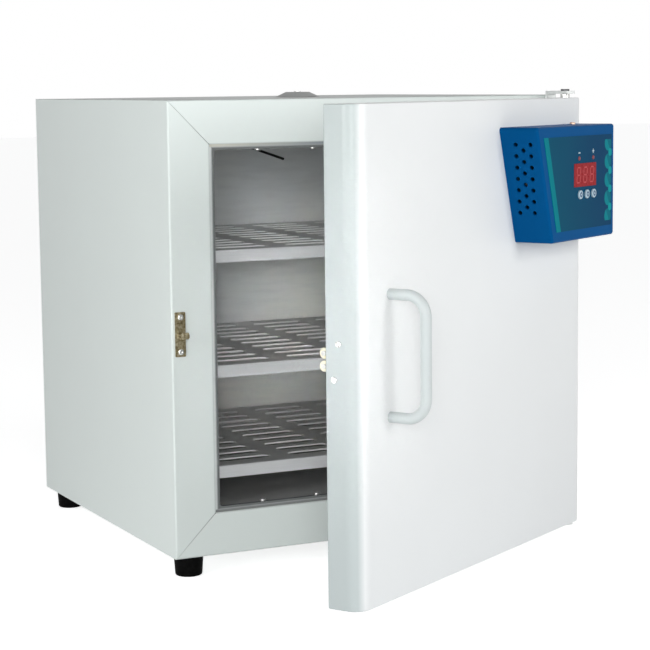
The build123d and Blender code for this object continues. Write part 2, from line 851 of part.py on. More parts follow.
# Inner panel: a lapped rim round a raised, tapered plug
rim = Pos(0, middle) * Rectangle(lip_width + 2 * panel_lap, lip_height + 2 * panel_lap)
plug_rise = front - plug_face_gap - panel_face
plug_plane = Plane(Plane.XZ.offset(-panel_face).origin, x_dir=(-1, 0, 0), z_dir=(0, 1, 0))
plug_width, plug_height = width - 2 * plug_inset, height - 2 * plug_inset
plug_profile = RectangleRounded(plug_width, plug_height, plug_corner)
plug_inner = RectangleRounded(
    plug_width - 2 * panel_sheet, plug_height - 2 * panel_sheet, plug_corner - panel_sheet
)
plug = extrude(plug_plane * Pos(0, middle) * plug_profile, plug_rise, taper=plug_taper)
hollow = extrude(plug_plane * Pos(0, middle) * plug_inner, plug_rise, taper=plug_taper)
panel = upright(rim, panel_face - panel_sheet, panel_face) + plug
panel -= Pos(0, -panel_sheet, 0) * hollow
for place in panel_screw_places:
    panel -= small_bore("+Y", place, 2 * (sheet + panel_sheet))
panel -= block((door_left, mouth_end), (door_outer, door_inner), mouth_z)
save_on_door("door_inner_panel", panel)
save_on_door("inner_panel_screws", *[small_screw("+Y", place, 5) for place in panel_screw_places])

# Gasket: a soft ring standing on the panel's rim
gasket_outer = RectangleRounded(width - 2 * gasket_inset, height - 2 * gasket_inset, gasket_corner)
gasket_hole = RectangleRounded(
    width - 2 * (gasket_inset + gasket_width), height - 2 * (gasket_inset + gasket_width), gasket_corner / 2
)
gasket = upright(Pos(0, middle) * (gasket_outer - gasket_hole), panel_face, front - gasket_gap)
gasket = fillet(gasket.faces().sort_by(Axis.Y)[-1].edges(), gasket_round)
save_on_door("door_gasket", gasket)

# Insulation inside the door
save_on_door(
    "door_insulation",
    block(
        (door_left + door_wool_edge, door_right - door_wool_hinge_edge),
        (door_outer + sheet + door_wool_room, panel_face - panel_sheet - fit),
        (door_low + sheet + fit, door_high - sheet - fit),
    ),
)

# Flanged hinge bushes, which carry the door between the brackets
bushes = []
for side, way in hinge_sides.items():
    face = door_high if side == "top" else door_low
    plate_face = plate_low[side] if side == "top" else plate_low[side] + bracket_sheet
    bush = rod((0, 0, face), (0, 0, plate_face - way * fit), bush_flange_radius)
    bush += rod((0, 0, face), (0, 0, face - way * bush_length), bush_radius)
    bush -= Pos(0, 0, face) * Cylinder(hinge_pin_radius + running, 4 * bush_length)
    bushes.append(Pos(hinge_x, hinge_y, 0) * bush)
save_on_door("hinge_bushes", *bushes)

# Handle: a bent round bar, screwed on from inside the door
handle_route = FilletPolyline(
    handle_ends[0],
    (handle_x, door_outer - handle_standoff, handle_ends[0][2]),
    (handle_x, door_outer - handle_standoff, handle_ends[1][2]),
    handle_ends[1],
    radius=handle_bend,
)
handle = sweep(Plane(handle_ends[0], z_dir=(0, -1, 0)) * Circle(handle_radius), path=handle_route)
handle_screws = []
for x, y, z in handle_ends:
    handle -= bore("-Y", (x, y, z), large_shank, handle_thread)
    seat = (x, door_outer + sheet, z)
    length = sheet + handle_screw_reach
    shank = large_shank - screw_clearance
    handle_screws.append(screw("+Y", seat, shank, large_head, large_head_height, length))
save_on_door("handle", handle)
save_on_door("handle_screws", *handle_screws)


# Roller catch: two sprung carriages on a guide rod, each with a plastic roller
def catch_body():
    """Channel bent from sheet, with an ear at each end for the guide rod."""
    across = (catch_x, catch_x + catch_width)
    along = (front - catch_back, front - catch_front)
    tall = (catch_z - catch_height / 2, catch_z + catch_height / 2)
    inside_x = (catch_x + catch_sheet, catch_x + catch_width - catch_sheet)
    inside_y = (front - catch_back + catch_sheet, front - catch_front + over)
    ear_reach = catch_height / 2 - catch_sheet
    body = block(across, along, tall)
    body -= block(inside_x, inside_y, (catch_z - ear_reach, catch_z + ear_reach))
    body -= guide(radius=guide_radius + screw_clearance)
    for place in catch_screw_places:
        body -= small_bore("-X", place, 4 * catch_sheet)
    return body


def guide(radius):
    """The guide rod, or the hole for it."""
    x, y = door_left + guide_inset, front - guide_back
    return rod((x, y, catch_z - catch_height / 2), (x, y, catch_z + catch_height / 2), radius)


def carriage(z, way):
    """Sliding block with an arm to the front and the roller's pin."""
    block_x = (door_left + guide_inset - carriage_block / 2, arm_x)
    start = z - way * (roller_span / 2 - fit)
    block_z = sorted((start, start + way * carriage_height))
    body = block(block_x, (front - carriage_back, front - carriage_front), block_z)
    arm_y = (front - carriage_back, roller_y + carriage_arm_past)
    body += block((arm_x, arm_x + carriage_sheet), arm_y, block_z)
    body -= rod(
        (door_left + guide_inset, front - guide_back, z - 2 * carriage_height),
        (door_left + guide_inset, front - guide_back, z + 2 * carriage_height),
        guide_radius + running,
    )
    pin_end = left + roller_inset - fit
    body += rod((arm_x, roller_y, z), (pin_end, roller_y, z), roller_pin_radius)
    return body + rod((pin_end, roller_y, z), (pin_end - roller_pin_head_sheet, roller_y, z), roller_pin_head)


save_on_door("catch_body", catch_body())
save_on_door("guide_rod", guide(guide_radius))
catch_screws = [small_screw("-X", place, 4) for place in catch_screw_places]
save_on_door("catch_screws", *catch_screws)
for name, way in (("upper", 1), ("lower", -1)):
    z = roller_z[name]
    save_on_door(f"carriage_{name}", carriage(z, way))
    start, end = left + roller_inset, left + roller_inset + roller_length
    roller = rod((start, roller_y, z), (end, roller_y, z), roller_radius)
    roller = fillet(roller.edges().filter_by(GeomType.CIRCLE), roller_round)
    roller -= rod((start - over, roller_y, z), (end + over, roller_y, z), roller_pin_radius + running)
    save_on_door(f"roller_{name}", roller)


# Control housing: a moulded shell with one slanted, vented side
housing_run = housing_left_low - housing_left_high


def slanted_side(z):
    """How far along X the slanted side stands at a height."""
    return housing_left_high + housing_run * (housing_high - z) / housing_height


def slanted_outline(high, low, margin, far):
    """An outline that follows the slanted side at a margin."""
    return Polygon(
        (slanted_side(high) + margin, high),
        (far, high),
        (far, low),
        (slanted_side(low) + margin, low),
        align=None,
    )


def housing_outline(inset):
    """The housing's front outline, drawn in evenly by the inset."""
    slant = inset * hypot(housing_run, housing_height) / housing_height
    return slanted_outline(housing_high - inset, housing_low + inset, slant, housing_right - inset)


def vent_hole(column_depth, drop):
    """One round vent hole, square to the slanted side."""
    y = door_outer - column_depth + vent_lean * (drop - housing_height / 2)
    z = housing_high - drop
    outward = Vector(-housing_height, 0, -housing_run).normalized() * 2 * housing_wall
    place = Vector(slanted_side(z), y, z)
    return rod(tuple(place + outward), tuple(place - outward), vent_hole_radius)


display_x = (housing_right - display_inset - display_width, housing_right - display_inset)
display_z = (housing_high - display_drop - display_height, housing_high - display_drop)
display_middle = (display_x[0] + display_x[1]) / 2
led_z = display_z[1] + led_rise
led_places = [(display_middle + led_shift + side * led_span / 2, led_z) for side in (-1, 1)]
button_z = display_z[0] - button_drop
button_places = {
    name: (display_middle + button_shift + step * button_pitch, button_z)
    for name, step in (("left", -1), ("middle", 0), ("right", 1))
}
inner_face = housing_face + housing_wall
board_face = housing_face + board_setback
board_x = (display_x[0] - board_margin, display_x[1] + board_margin)
board_z = (button_z - board_margin, led_z + board_margin)
cover_x = housing_right - cover_screw_inset
cover_places = [
    ("+Z", (cover_x, door_outer - cover_screw_depth, housing_high)),
    ("-Z", (cover_x, door_outer - cover_screw_depth, housing_low)),
]


def front_openings(start, end):
    """The display, lamp and button openings, between two depths."""
    opening = block(
        (display_x[0] - fit / 2, display_x[1] + fit / 2),
        (start, end),
        (display_z[0] - fit / 2, display_z[1] + fit / 2),
    )
    for x, z in led_places:
        opening += rod((x, start, z), (x, end, z), led_radius + screw_clearance)
    for x, z in button_places.values():
        opening += rod((x, start, z), (x, end, z), button_radius + fit)
    return opening


housing = upright(housing_outline(0), housing_face, door_outer)
housing = fillet(housing.edges().filter_by(Axis.Y), housing_corner)
housing = fillet(housing.faces().sort_by(Axis.Y)[0].edges(), housing_edge)
housing -= upright(housing_outline(housing_wall), inner_face, door_outer + over)
for column in range(vent_columns):
    shifted = column % 2
    for row in range(vent_rows - shifted):
        drop = vent_margin_top + (row + shifted / 2) * vent_hole_pitch
        housing -= vent_hole(vent_first_column + column * vent_column_pitch, drop)
housing -= front_openings(housing_face - over, inner_face + over)
for x in (board_x[0] + board_post_inset, board_x[1] - board_post_inset):
    for z in (board_z[0] + board_post_inset, board_z[1] - board_post_inset):
        housing += rod((x, inner_face - housing_wall / 2, z), (x, board_face, z), board_post_radius)
for direction, place in cover_places:
    housing -= small_bore(direction, place, 2 * housing_wall)
save_on_door("control_housing", housing)

# Backplate inside the housing, whose tabs take the cover screws
plate = upright(housing_outline(housing_wall + fit), door_outer - backplate_sheet, door_outer)
tab_x = (cover_x - backplate_tab_width / 2, cover_x + backplate_tab_width / 2)
for way, edge in ((1, housing_high), (-1, housing_low)):
    face = edge - way * (housing_wall + fit)
    tab_z = sorted((face, face - way * backplate_sheet))
    plate += block(tab_x, (door_outer - backplate_tab, door_outer), tab_z)
for direction, place in cover_places:
    plate -= small_bore(direction, place, 5 * backplate_sheet)
for place in backplate_places:
    plate -= small_bore("-Y", place)
save_on_door("housing_backplate", plate)
housing_screws = [small_screw(direction, place) for direction, place in cover_places]
housing_screws += [small_screw("-Y", place) for place in backplate_places]
save_on_door("housing_screws", *housing_screws)


# Front label, display filter, lamps, buttons and the board behind them
label_face = housing_face - label_sheet
label_outline = slanted_outline(
    housing_high - label_inset_top,
    housing_low + label_inset_bottom,
    label_inset_left,
    housing_right - label_inset_right,
)
label = upright(label_outline, label_face, housing_face)
label -= front_openings(label_face - over, housing_face + over)
save_on_door("control_label", label)
window = block(display_x, (label_face - display_proud, inner_face), display_z)
save_on_door("display_window", window)
lamps = []
for x, z in led_places:
    lamp = rod((x, board_face, z), (x, label_face - led_proud, z), led_radius)
    lamps.append(fillet(lamp.edges().group_by(Axis.Y)[0], led_radius * 0.6))
save_on_door("indicator_lamps", *lamps)

board = block(board_x, (board_face, board_face + board_sheet), board_z)
module_x = (display_x[0] + module_inset, display_x[1] - module_inset)
module_z = (display_z[0] + module_inset, display_z[1] - module_inset)
board += block(module_x, (inner_face + fit, board_face), module_z)
stem_end = label_face - button_proud + button_stem
switch_face = stem_end + button_travel + fit
for x, z in button_places.values():
    switch_x, switch_z = (x - switch_half, x + switch_half), (z - switch_half, z + switch_half)
    board += block(switch_x, (switch_face, board_face), switch_z)
save_on_door("circuit_board", board)

for name, (x, z) in button_places.items():
    cap = rod((x, inner_face + fit, z), (x, label_face - button_proud, z), button_radius)
    cap = fillet(cap.edges().group_by(Axis.Y)[0], 0.6)
    cap += rod((x, inner_face + fit, z), (x, inner_face + fit + button_flange_sheet, z), button_flange)
    cap += rod((x, inner_face + fit, z), (x, stem_end, z), button_radius / 2)
    save_on_door(f"button_{name}", cap)
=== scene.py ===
from math import cos, pi, radians, sin

import bmesh
import bpy
from mathutils import Matrix, Vector


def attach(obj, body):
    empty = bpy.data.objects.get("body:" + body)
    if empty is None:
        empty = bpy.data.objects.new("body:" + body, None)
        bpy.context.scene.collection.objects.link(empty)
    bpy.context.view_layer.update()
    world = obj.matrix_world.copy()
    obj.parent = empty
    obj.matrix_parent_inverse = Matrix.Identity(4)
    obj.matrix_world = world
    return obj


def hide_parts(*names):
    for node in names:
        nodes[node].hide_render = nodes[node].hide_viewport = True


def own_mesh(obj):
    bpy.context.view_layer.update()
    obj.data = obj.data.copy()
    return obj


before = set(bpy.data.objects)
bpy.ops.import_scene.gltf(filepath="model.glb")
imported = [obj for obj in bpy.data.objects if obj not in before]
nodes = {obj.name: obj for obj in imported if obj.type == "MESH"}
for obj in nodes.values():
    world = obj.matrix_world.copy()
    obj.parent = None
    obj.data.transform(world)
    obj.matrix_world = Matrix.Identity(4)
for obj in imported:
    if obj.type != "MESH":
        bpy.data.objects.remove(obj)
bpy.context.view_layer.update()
bpy.ops.object.select_all(action="DESELECT")

# The camera stands to the left of the oven at the height of its top, as the photograph's did.
# The horizon is a little off level.
eye = Vector((-0.914256, -1.962195, 0.486648))
yaw, pitch, roll = radians(26.096), radians(-7.058), radians(-0.627)
focal_in_pixels, picture_width, sensor = 1957.893, 650, 36
ahead = Vector((sin(yaw) * cos(pitch), cos(yaw) * cos(pitch), sin(pitch)))
level = Vector((cos(yaw), -sin(yaw), 0))
aloft = level.cross(ahead)
camera_right = cos(roll) * level + sin(roll) * aloft
camera_up = cos(roll) * aloft - sin(roll) * level
bpy.ops.object.camera_add()
camera = bpy.context.object
camera.data.sensor_width = sensor
camera.data.lens = focal_in_pixels / picture_width * sensor
turned = Matrix((camera_right, camera_up, -ahead)).transposed().to_4x4()
camera.matrix_world = Matrix.Translation(eye) @ turned
bpy.context.scene.camera = camera
bpy.context.scene.view_settings.view_transform = "Standard"


# A pale floor in soft studio light: a large lamp before the door's outer face, weaker ones by the
# camera and on the left, and a narrow one that lights the chamber through the door's gap. The
# sky's light fades overhead. Every finish is mixed with the two classes that come first.
class Field:
    """A number or colour that changes over a surface, held by a socket of a finish's nodes."""

    def __init__(self, finish, socket):
        self.finish = finish
        self.socket = socket

    def maths(self, operation, *values):
        return self.finish.node("ShaderNodeMath", {"operation": operation}, *values)

    def __add__(self, other):
        return self.maths("ADD", self, other)

    def __sub__(self, other):
        return self.maths("SUBTRACT", self, other)

    def __rsub__(self, other):
        return self.maths("SUBTRACT", other, self)

    def __mul__(self, other):
        return self.maths("MULTIPLY", self, other)

    def __mod__(self, other):
        return self.maths("FLOORED_MODULO", self, other)

    def __pow__(self, other):
        return self.maths("POWER", self, other)

    def __lt__(self, other):
        return self.maths("LESS_THAN", self, other)

    def __gt__(self, other):
        return self.maths("GREATER_THAN", self, other)

    def __abs__(self):
        return self.maths("ABSOLUTE", self)

    __radd__ = __add__
    __rmul__ = __mul__


class Finish:
    """A material as it is mixed: its nodes, its shader and what its surface reads."""

    def __init__(self, name, **constants):
        self.material = bpy.data.materials.new(name)
        self.material.use_nodes = True
        self.tree = self.material.node_tree
        self.shader = self.tree.nodes["Principled BSDF"]
        for socket, value in constants.items():
            self.feed(self.shader.inputs[socket.replace("_", " ")], value)
        self.place = self.node("ShaderNodeTexCoord", {}, output="Object")

    def feed(self, socket, value):
        if isinstance(value, Field):
            self.tree.links.new(value.socket, socket)
        elif socket.type == "RGBA":
            socket.default_value = (*value, 1.0)
        else:
            socket.default_value = value

    def node(self, kind, settings, *values, output=0, **named):
        """Any node: its settings first, then what its sockets hold, by order or by name."""
        node = self.tree.nodes.new(kind)
        for key, value in settings.items():
            if key == "stops":
                ramp = node.color_ramp
                while len(ramp.elements) < len(value):
                    ramp.elements.new(0.5)
                for stop, (position, colour) in zip(ramp.elements, value):
                    stop.position, stop.color = position, (*colour, 1.0)
            else:
                setattr(node, key, value)
        for index, value in enumerate(values):
            self.feed(node.inputs[index], value)
        for key, value in named.items():
            self.feed(node.inputs[key.replace("_", " ")], value)
        return Field(self, node.outputs[output])

    def axes(self, place=None):
        split = self.node("ShaderNodeSeparateXYZ", {}, place or self.place).socket.node
        return [Field(self, socket) for socket in split.outputs]

    def stretched(self, scale, place=None):
        return self.node("ShaderNodeMapping", {}, Vector=place or self.place, Scale=scale)

    def noise(self, scale, detail=3.0, place=None, rough=0.5):
        settings = {"noise_dimensions": "3D"}
        values = {"Vector": place or self.place, "Scale": scale, "Detail": detail, "Roughness": rough}
        return self.node("ShaderNodeTexNoise", settings, **values)

    def ramp(self, factor, *stops):
        return self.node("ShaderNodeValToRGB", {"stops": stops}, factor)

    def between(self, factor, low, high, start=0.0, end=1.0):
        settings = {"clamp": True}
        return self.node("ShaderNodeMapRange", settings, factor, start, end, low, high)

    def mix(self, factor, first, second, blend="MIX"):
        settings = {"data_type": "RGBA", "blend_type": blend, "clamp_factor": True}
        mixed = self.node("ShaderNodeMix", settings, output=2)
        for index, value in ((0, factor), (6, first), (7, second)):
            self.feed(mixed.socket.node.inputs[index], value)
        return mixed

    def bump(self, height, strength, distance):
        return self.node("ShaderNodeBump", {}, Strength=strength, Distance=distance, Height=height)

    def surface(self, **links):
        for socket, value in links.items():
            self.feed(self.shader.inputs[socket.replace("_", " ")], value)
        return self.material


def tone(code):
    """A screen colour such as #00529b, as the linear values that a shader takes."""
    parts = [int(code[i:i + 2], 16) / 255 for i in (1, 3, 5)]
    return tuple(part / 12.92 if part <= 0.04045 else ((part + 0.055) / 1.055) ** 2.4 for part in parts)


def unlit_to_camera(tree, surface, shade):
    """Shows a second shader to the camera, mirrors and glass, and the first to all other light."""
    path = tree.nodes.new("ShaderNodeLightPath")
    seen = tree.nodes.new("ShaderNodeMath")
    seen.operation = "MAXIMUM"
    tree.links.new(path.outputs["Is Camera Ray"], seen.inputs[0])
    tree.links.new(path.outputs["Is Glossy Ray"], seen.inputs[1])
    also = tree.nodes.new("ShaderNodeMath")
    also.operation = "MAXIMUM"
    tree.links.new(seen.outputs[0], also.inputs[0])
    tree.links.new(path.outputs["Is Transmission Ray"], also.inputs[1])
    choice = tree.nodes.new("ShaderNodeMixShader")
    tree.links.new(also.outputs[0], choice.inputs["Fac"])
    tree.links.new(surface.outputs[0], choice.inputs[1])
    tree.links.new(shade.outputs[0], choice.inputs[2])
    return choice


bpy.ops.mesh.primitive_plane_add(size=24, location=(0, 4, 0))
floor = bpy.context.object
floor.name = "floor"
floor_finish = Finish("floor_paper", Base_Color=(0.86, 0.86, 0.86), Roughness=0.9)
floor_tree = floor_finish.tree
glow = floor_tree.nodes.new("ShaderNodeEmission")
glow.inputs["Strength"].default_value = 0.75
under_glow = floor_tree.nodes.new("ShaderNodeAddShader")
floor_tree.links.new(floor_finish.shader.outputs[0], under_glow.inputs[0])
floor_tree.links.new(glow.outputs[0], under_glow.inputs[1])
floor_choice = unlit_to_camera(floor_tree, floor_finish.shader, under_glow)
floor_tree.links.new(floor_choice.outputs[0], floor_tree.nodes["Material Output"].inputs["Surface"])
floor.data.materials.append(floor_finish.material)

sky = bpy.data.worlds.new("studio_sky")
bpy.context.scene.world = sky
sky.use_nodes = True
sky_tree = sky.node_tree
sky_light = sky_tree.nodes["Background"]
sky_light.inputs["Strength"].default_value = 1.0
sky_place = sky_tree.nodes.new("ShaderNodeTexCoord")
sky_axes = sky_tree.nodes.new("ShaderNodeSeparateXYZ")
sky_shade = sky_tree.nodes.new("ShaderNodeValToRGB")
sky_tree.links.new(sky_place.outputs["Generated"], sky_axes.inputs[0])
sky_tree.links.new(sky_axes.outputs["Z"], sky_shade.inputs[0])
sky_tree.links.new(sky_shade.outputs[0], sky_light.inputs["Color"])
sky_shade.color_ramp.elements[0].color = (0.46, 0.47, 0.475, 1.0)
sky_shade.color_ramp.elements[1].color = (0.0, 0.0, 0.0, 1.0)
sky_seen = sky_tree.nodes.new("ShaderNodeBackground")
sky_seen.inputs["Color"].default_value = (1.0, 1.0, 1.0, 1.0)
sky_choice = unlit_to_camera(sky_tree, sky_light, sky_seen)
sky_tree.links.new(sky_choice.outputs[0], sky_tree.nodes["World Output"].inputs["Surface"])

# Each lamp's name, place, aim, width and height, spread in degrees, and power in watts.
lamps = (
    ("door_lamp", (1.2, -2.4, 1.0), (0.05, -0.35, 0.35), (1.2, 1.2), 180, 25.0),
    ("camera_lamp", (-0.95, -2.0, 0.62), (-0.05, 0.0, 0.25), (0.5, 0.5), 180, 12.0),
    ("left_lamp", (-1.7, -0.9, 0.6), (-0.2, -0.2, 0.25), (0.6, 0.6), 180, 11.0),
    ("chamber_lamp", (-0.95, -2.03, 0.49), (-0.085, -0.204, 0.25), (0.13, 0.25), 6, 0.04),
)
for name, place, aim, size, spread, power in lamps:
    bpy.ops.object.light_add(type="AREA", location=place)
    lamp = bpy.context.object
    lamp.name = name
    lamp.data.shape = "RECTANGLE"
    lamp.data.size, lamp.data.size_y = size
    lamp.data.spread = radians(spread)
    lamp.data.energy = power
    lamp.rotation_euler = (Vector(aim) - Vector(place)).to_track_quat("-Z", "Y").to_euler()


# The cabinet's casing is folded from steel sheet in four panels, mitred where they meet on the
# front frame, and powder-coated white. Painted shade darkens the mitres towards the chamber and
# the frame's edge round the mouth, and painted shade greys the top.
width, height = 0.438, 0.450
front, back = -0.204, 0.204
foot_height = 0.0215
middle_z = foot_height + height / 2
frame_border, skin_depth = 0.043, 0.0006


def coat(material, *names):
    """Gives a material to the frame's own pieces."""
    for name in names:
        for slot in nodes[name].material_slots:
            slot.link = "OBJECT"
            slot.material = material


def powder(name, colour, roughness=0.36):
    """Powder coat: an even colour, a satin gloss and the fine peel of a baked coat."""
    finish = Finish(name, IOR=1.5, Specular_IOR_Level=0.3)
    cloud = finish.noise(6.0, 2.0)
    peel = finish.noise(620.0, 2.0, rough=0.6)
    fine = finish.noise(2600.0, 1.0)
    lighter = tuple(min(1.0, part * 1.03) for part in colour)
    darker = tuple(part * 0.965 for part in colour)
    finish.paint = finish.mix(cloud, darker, lighter)
    finish.surface(
        Base_Color=finish.paint,
        Roughness=finish.between(cloud + peel * 0.5, roughness - 0.04, roughness + 0.06, 0.4, 1.1),
        Normal=finish.bump(peel + fine * 0.3, 0.10, 0.0004),
    )
    return finish


casing_white = tone("#e2eae7")
casing = powder("casing_powder", casing_white)
x, y, z = casing.axes()
to_side = width / 2 - abs(x)
to_end = height / 2 - abs(z - middle_z)
off_mitre = abs(to_side - to_end)
on_front = y < front + skin_depth
# Painted shade: the mitres darken towards the chamber, and the front darkens at the mouth's edge.
mitre = casing.between(off_mitre, 1.0, 0.0, 0.00015, 0.00075)
deeper = casing.between(to_side, 0.15, 0.75, 0.006, frame_border)
to_outside = casing.node("ShaderNodeMath", {"operation": "MINIMUM"}, to_side, to_end)
mouth_shade = casing.between(to_outside, 0.0, 0.30, frame_border - 0.0015, frame_border)
mitre_shade = mitre * deeper * on_front
# Painted shade greys the top.
on_top = z > foot_height + height - skin_depth / 2
top_shaded_paint = casing.mix(on_top * 0.8, casing.paint, tone("#8f9392"))
casing.surface(Base_Color=casing.mix(mitre_shade + mouth_shade * on_front, top_shaded_paint, tone("#4a4f4f")))
coat(casing.material, "casing_top", "casing_left", "casing_bottom", "casing_right")

# The rear panel is a flat steel plate, powder-coated a little duller than the casing. Eight plated
# pan-head screws with cross recesses hold it on the casing's folded return.
panel_white = powder("panel_powder", tone("#dfe3e1"), 0.42)
coat(panel_white.material, "rear_panel")


def pick(piece, kind, test):
    """In edit mode, selects the faces or edges whose middle and normal pass a test."""
    mesh = bmesh.from_edit_mesh(piece.data)
    for part in [*mesh.verts, *mesh.edges, *mesh.faces]:
        part.select = False
    if kind == "FACE":
        chosen = [face for face in mesh.faces if test(face.calc_center_median(), face.normal)]
    else:
        chosen = [edge for edge in mesh.edges if test((edge.verts[0].co + edge.verts[1].co) / 2, None)]
    for part in chosen:
        part.select_set(True)
    mesh.select_flush_mode()
    bmesh.update_edit_mesh(piece.data)


def cut(piece, tool):
    """Cuts a tool's shape out of a piece."""
    bpy.ops.object.select_all(action="DESELECT")
    piece.select_set(True)
    bpy.context.view_layer.objects.active = piece
    modifier = piece.modifiers.new("cut", "BOOLEAN")
    modifier.object = tool
    modifier.solver = "EXACT"
    bpy.ops.object.modifier_apply(modifier=modifier.name)
    bpy.data.objects.remove(tool)


def pan_screw(shank, head, head_height, length, recess):
    """One screw on the origin, head up, with a cross, a slot or a round socket in its head."""
    bpy.ops.object.select_all(action="DESELECT")
    bpy.ops.mesh.primitive_cylinder_add(
        vertices=32, radius=head, depth=head_height, location=(0, 0, head_height / 2)
    )
    bpy.ops.object.transform_apply()
    screw = bpy.context.object
    bpy.ops.object.mode_set(mode="EDIT")
    bpy.ops.mesh.select_mode(type="EDGE")
    pick(screw, "EDGE", lambda middle, _: middle.z > head_height * 0.99 and middle.xy.length > head * 0.9)
    bpy.ops.mesh.bevel(offset=head_height * 0.6, segments=5, affect="EDGES")
    bpy.ops.mesh.select_mode(type="FACE")
    pick(screw, "FACE", lambda _, normal: normal.z < -0.9)
    bpy.ops.mesh.inset(thickness=head - shank)
    bpy.ops.mesh.extrude_region_move(TRANSFORM_OT_translate={"value": (0, 0, -length)})
    bpy.ops.mesh.inset(thickness=shank * 0.35)
    bpy.ops.transform.translate(value=(0, 0, -shank * 0.35))
    bpy.ops.object.mode_set(mode="OBJECT")
    reach, slit, depth = head * 0.62, head * 0.20, head_height * 0.62
    if recess == "slot":
        reach, slit, depth = head * 1.2, head * 0.18, head_height * 0.45
    if recess == "socket":
        bpy.ops.mesh.primitive_cylinder_add(
            vertices=24, radius=head * 0.42, depth=2 * depth, location=(0, 0, head_height)
        )
        bpy.ops.object.transform_apply()
        cut(screw, bpy.context.object)
    angles = {"cross": (0, pi / 2), "slot": (0,), "socket": ()}[recess]
    for angle in angles:
        bpy.ops.mesh.primitive_cube_add(size=2, location=(0, 0, head_height), rotation=(0, 0, angle))
        blade = bpy.context.object
        blade.scale = (reach, slit, depth)
        bpy.ops.object.transform_apply()
        cut(screw, blade)
    for face in screw.data.polygons:
        face.use_smooth = True
    bpy.ops.object.select_all(action="DESELECT")
    screw.select_set(True)
    bpy.context.view_layer.objects.active = screw
    bpy.ops.object.shade_smooth_by_angle(angle=radians(35))
    return screw


def copies(pattern, name, places):
    """Copies of a pattern at each place, each with its own mesh, joined as one piece."""
    made = []
    for place in places:
        copy = pattern.copy()
        copy.data = pattern.data.copy()
        copy.data.transform(place)
        bpy.context.scene.collection.objects.link(copy)
        made.append(copy)
    bpy.ops.object.select_all(action="DESELECT")
    for copy in made:
        copy.select_set(True)
    bpy.context.view_layer.objects.active = made[0]
    if len(made) > 1:
        bpy.ops.object.join()
    piece = bpy.context.view_layer.objects.active
    piece.name = name
    piece.data.name = name
    bpy.data.objects.remove(pattern)
    return piece


def stand(direction, place, spin=0.0):
    """Where a screw goes whose head looks along a direction."""
    turn_up = Vector(direction).to_track_quat("Z", "Y").to_matrix().to_4x4()
    return Matrix.Translation(Vector(place)) @ turn_up @ Matrix.Rotation(spin, 4, "Z")


def dress(piece, material, body):
    """Gives a new piece its material and its body."""
    piece.data.materials.clear()
    piece.data.materials.append(material)
    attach(piece, body)


def plated(name, colour, roughness=0.34):
    """Plated metal: a soft sheen, mottled and a little worn."""
    finish = Finish(name, Metallic=1.0)
    patches = finish.noise(420.0, 4.0)
    grain = finish.noise(2400.0, 2.0)
    darker = tuple(part * 0.72 for part in colour)
    finish.surface(
        Base_Color=finish.mix(finish.between(patches, 0.0, 1.0, 0.3, 0.7), darker, colour),
        Roughness=finish.between(patches, roughness - 0.08, roughness + 0.12, 0.3, 0.7),
        Normal=finish.bump(grain, 0.15, 0.0001),
    )
    return finish


zinc = plated("zinc_plate", (0.66, 0.66, 0.64))
small_shank, small_head, small_head_height = 0.0015, 0.003, 0.0019
sheet = 0.0015
corners = [(side, end) for side in (-1, 1) for end in (-1, 1)]
rear_spans = ((0.2085, 0.171), (0.1577, 0.2145))
rear_places = [
    (side * span_x, back + sheet, middle_z + end * span_z)
    for span_x, span_z in rear_spans
    for side, end in corners
]
rear_screws = copies(
    pan_screw(small_shank, small_head, small_head_height, 0.007, "cross"),
    "rear_screw_heads",
    [stand((0, 1, 0), place, 0.7 * index) for index, place in enumerate(rear_places)],
)
dress(rear_screws, zinc.material, "cabinet")
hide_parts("rear_screws")


def moulded(name, colour, roughness=0.5, grain_scale=1500.0, grain_depth=0.12):
    """Moulded plastic: an even colour with a spark-eroded grain and a soft sheen."""
    finish = Finish(name, IOR=1.48, Specular_IOR_Level=0.03)
    grain = finish.noise(grain_scale, 3.0, rough=0.65)
    cloud = finish.noise(14.0, 2.0)
    darker = tuple(part * 0.88 for part in colour)
    finish.surface(
        Base_Color=finish.mix(cloud, darker, colour),
        Roughness=finish.between(grain, roughness - 0.08, roughness + 0.08, 0.3, 0.7),
        Normal=finish.bump(grain, grain_depth, 0.0002),
    )
    return finish


# The cable inlet is a black nylon gland with a domed nut, moulded with a fine matt grain, as is
# the probe's bush.
black_nylon = moulded("black_nylon", (0.012, 0.012, 0.013))
coat(black_nylon.material, "cable_gland", "gland_nut", "probe_bush")

# Four tapered feet of moulded black rubber, with turned rings from the mould and dust on them. A
# plated screw, sunk in each foot, is held by a nut inside the cabinet.
ring_pitch = 0.0016
rubber = Finish("foot_rubber", IOR=1.5, Specular_IOR_Level=0.02)
x, y, z = rubber.axes()
bloom = rubber.noise(260.0, 4.0)
rings = rubber.node("ShaderNodeMath", {"operation": "SINE"}, z * (2 * pi / ring_pitch))
dust = rubber.between(bloom, 0.0, 0.4, 0.45, 0.8)
rubber.surface(
    Base_Color=rubber.mix(dust, (0.003, 0.003, 0.003), (0.016, 0.016, 0.016)),
    Roughness=rubber.between(bloom, 0.42, 0.72, 0.3, 0.75),
    Normal=rubber.bump(rings * 0.35 + bloom, 0.25, 0.00025),
)
coat(rubber.material, "foot_front_left", "foot_front_right", "foot_rear_left", "foot_rear_right")
coat(zinc.material, "foot_screws")
